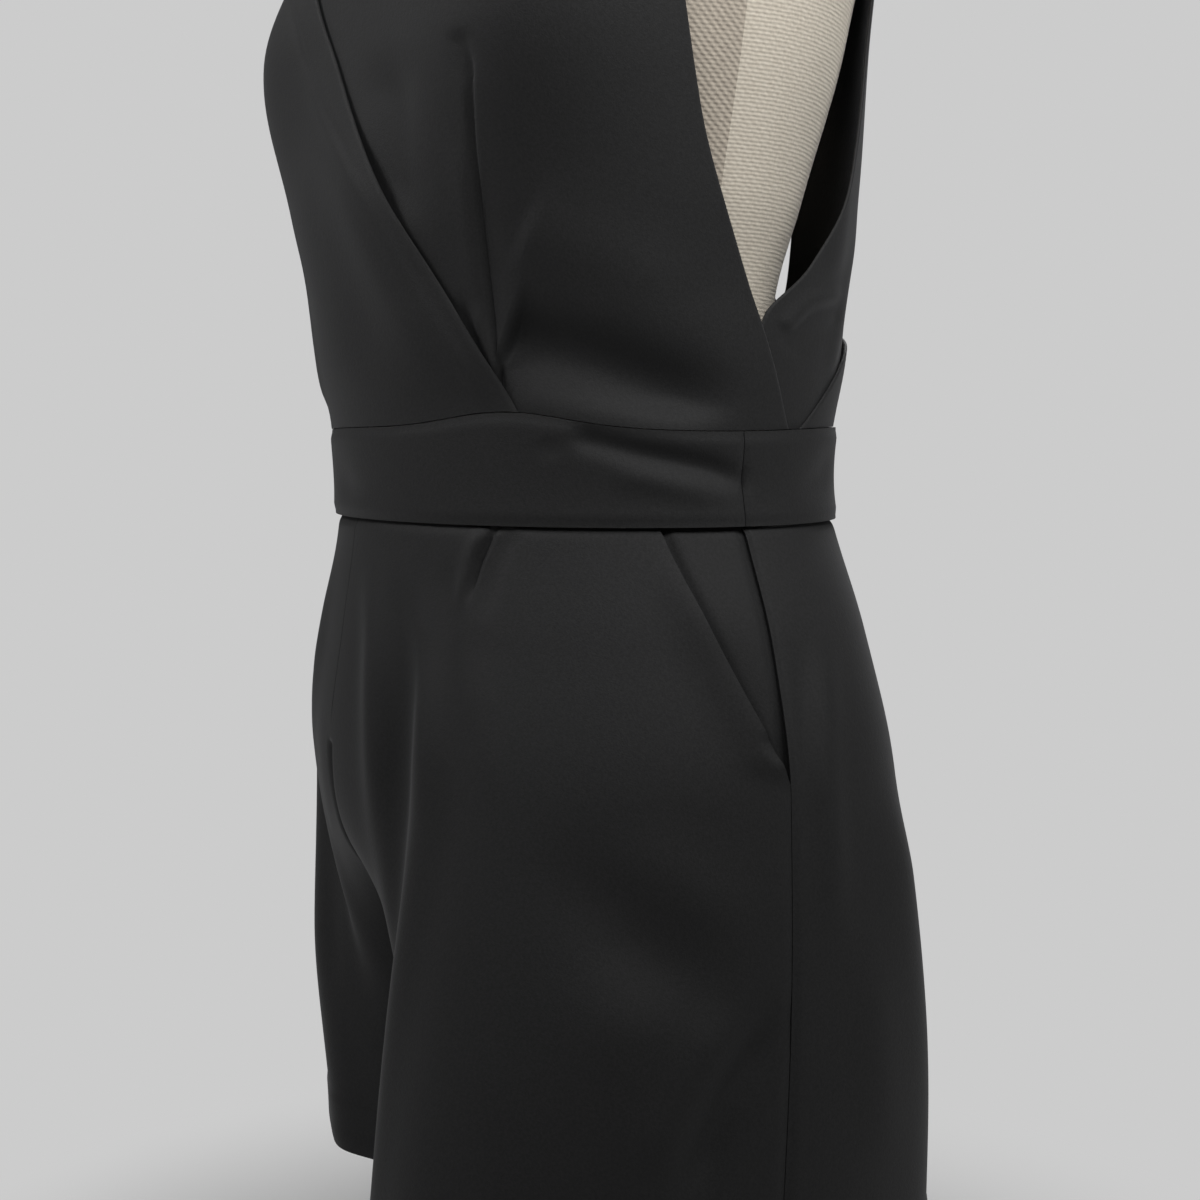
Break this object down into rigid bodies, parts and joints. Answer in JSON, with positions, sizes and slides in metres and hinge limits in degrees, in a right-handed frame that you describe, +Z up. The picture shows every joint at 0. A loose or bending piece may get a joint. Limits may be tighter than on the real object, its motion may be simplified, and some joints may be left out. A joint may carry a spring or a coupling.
{
  "type": "wrap-front romper on a limbless dress form with a low round stand",
  "caption": "Sleeveless romper with a wrapped front and back, a wide waistband, pleats and slant pockets, worn by a limbless dress form on a low round stand.",
  "frame": {"origin": "middle of the round base's underside, on the floor", "axes": "+Z up; -Y is the garment's front; +X is the wearer's left"},
  "size_m": [0.3766, 0.3, 0.9623],
  "materials": {
    "black_crepe": "matte black stretch crepe with a faint sheen",
    "form_linen": "beige woven cover",
    "stand_metal": "brushed",
    "cap_wood": "satin lacquer"
  },
  "bodies": {
    "root": {"bodice_front_left": "black_crepe", "bodice_front_right": "black_crepe", "bodice_back_left": "black_crepe", "bodice_back_right": "black_crepe", "waistband_front": "black_crepe", "waistband_back": "black_crepe", "shorts_front_left": "black_crepe", "shorts_front_right": "black_crepe", "shorts_back_left": "black_crepe", "shorts_back_right": "black_crepe", "pocket_facing_left": "black_crepe", "pocket_facing_right": "black_crepe", "form_torso": "form_linen", "neck_cap": "cap_wood", "stand_base": "stand_metal", "stand_hub": "stand_metal", "stand_pole": "stand_metal", "stand_flange": "stand_metal"}
  },
  "joints": []
}
